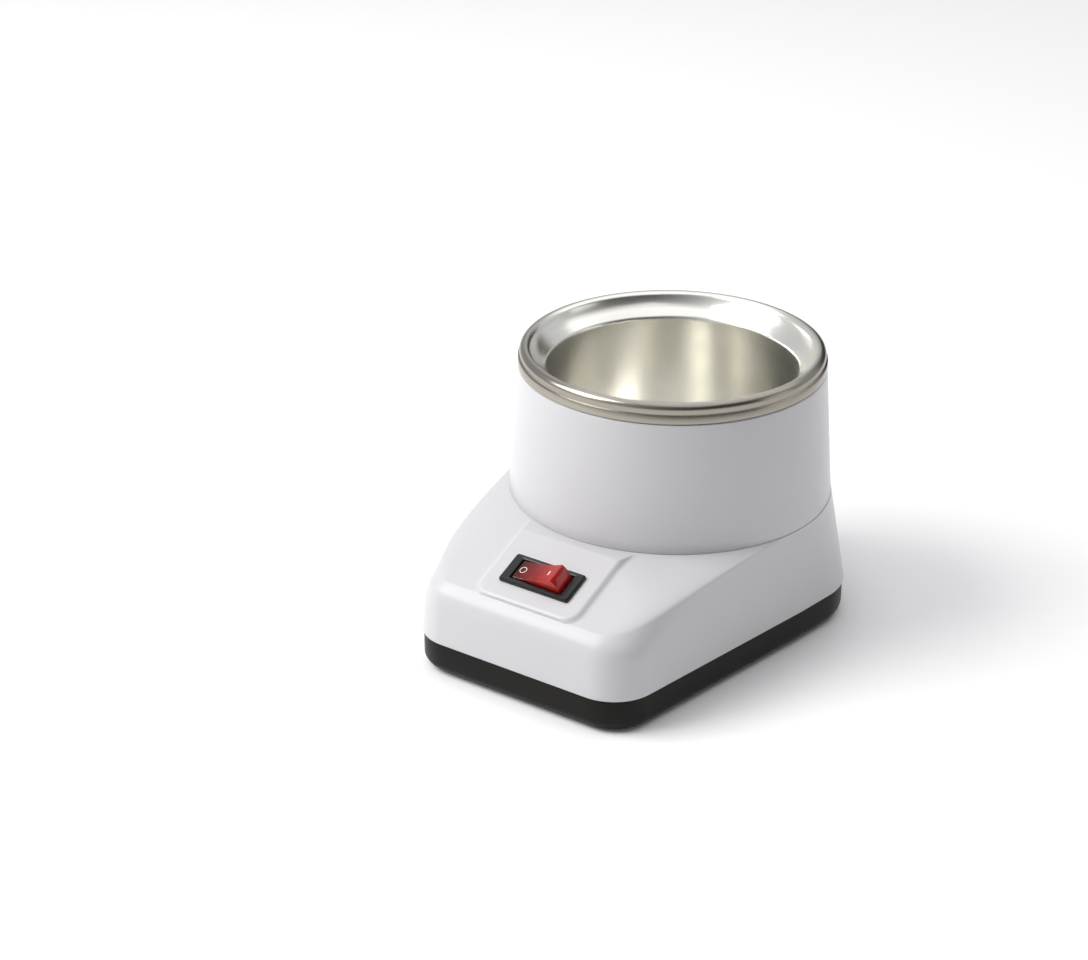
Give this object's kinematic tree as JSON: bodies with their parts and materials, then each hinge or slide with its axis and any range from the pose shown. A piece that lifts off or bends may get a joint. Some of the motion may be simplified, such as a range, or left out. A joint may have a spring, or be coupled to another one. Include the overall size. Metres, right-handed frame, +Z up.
{
  "type": "wax warmer pot",
  "caption": "Free-standing wax warmer: a spun steel well with a rolled rim in a round collar on a sloping-deck base with a lit rocker switch.",
  "frame": {"origin": "on the table, under the middle of the bounding box; the pot axis stands 15.5 mm behind it", "axes": "+Z up, front with the switch towards -Y, +X to the right of someone facing the front"},
  "size_m": [0.132, 0.181, 0.112],
  "materials": {
    "white_plastic": "satin",
    "black_plastic": "satin",
    "switch_black": "satin",
    "stainless": "spun and brushed",
    "zinc_steel": "zinc plated",
    "screw_steel": "plated",
    "shield_aluminium": "mill",
    "heater_mica": "satin",
    "glass_fibre": "woven",
    "phenolic": "matte",
    "fuse_case": "matte",
    "rubber": "matte",
    "block_plastic": "matte",
    "brass": "satin",
    "rocker_red": "translucent gloss",
    "plunger_nylon": "matte",
    "spring_steel": "drawn",
    "lamp_glass": "clear",
    "insulation_brown": "satin",
    "insulation_blue": "satin",
    "insulation_green": "satin",
    "insulation_heat": "braided"
  },
  "bodies": {
    "base": {"collar": "white_plastic", "lower_housing": "white_plastic", "base_tray": "black_plastic", "well_liner": "stainless", "centre_stud": "zinc_steel", "stud_nut": "zinc_steel", "stud_washer": "zinc_steel", "support_strap": "zinc_steel", "strap_screws": "screw_steel", "heat_shield": "shield_aluminium", "heater_band": "heater_mica", "band_clamp_screw": "screw_steel", "insulation_sleeve": "glass_fibre", "thermostat": "phenolic", "thermostat_bracket": "zinc_steel", "bracket_nut": "zinc_steel", "thermal_fuse": "fuse_case", "fuse_clip": "zinc_steel", "collar_screws": "screw_steel", "tray_screws": "screw_steel", "rubber_feet": "rubber", "cord_bushing": "black_plastic", "bushing_nut": "black_plastic", "terminal_block": "block_plastic", "terminal_screws": "brass", "switch_body": "switch_black", "switch_terminals": "brass", "neon_lamp": "lamp_glass", "wire_live": "insulation_brown", "wire_switched": "insulation_brown", "wire_neutral": "insulation_blue", "wire_earth": "insulation_green", "heater_lead_left": "insulation_heat", "heater_lead_right": "insulation_heat"},
    "rocker": {"rocker": "rocker_red", "rocker_plunger": "plunger_nylon", "plunger_spring": "spring_steel"},
    "lever": {"contact_lever": "brass"}
  },
  "joints": [
    {"name": "rocker_hinge", "type": "hinge", "parent": "base", "child": "rocker", "pos_m": [0, -0.07026, 0.04385], "axis": [0, 0.9225, 0.3859], "range_deg": [0, 32]},
    {"name": "lever_hinge", "type": "hinge", "parent": "base", "child": "lever", "pos_m": [0, -0.06691, 0.03583], "axis": [0, 0.9225, 0.3859], "range_deg": [-16, 0]}
  ],
  "couplings": [
    {"joint": "lever_hinge", "follows": "rocker_hinge", "ratio": -0.5}
  ]
}
